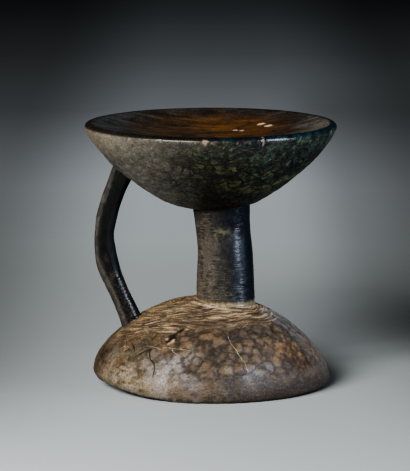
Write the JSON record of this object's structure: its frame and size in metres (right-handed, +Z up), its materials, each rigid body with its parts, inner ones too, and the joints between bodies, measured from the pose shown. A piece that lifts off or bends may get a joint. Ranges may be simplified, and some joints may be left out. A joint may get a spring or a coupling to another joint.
{
  "type": "carved wooden stool",
  "caption": "Low stool carved from one block of wood: a dished round seat on an off-centre round column, a domed foot, and a bent handle from seat to foot on one side.",
  "frame": {"origin": "on the floor under the middle of the stool's box, at the centre of the flat underside of the foot", "axes": "+Z up along the height, handle on the -X side, column shifted towards +X, the picture's front is -Y"},
  "size_m": [0.3206, 0.3206, 0.336],
  "materials": {
    "carved_wood": "dark handled patina, dull on the foot and half gloss in the dish and on the column"
  },
  "bodies": {
    "root": {"stool": "carved_wood"}
  },
  "joints": []
}
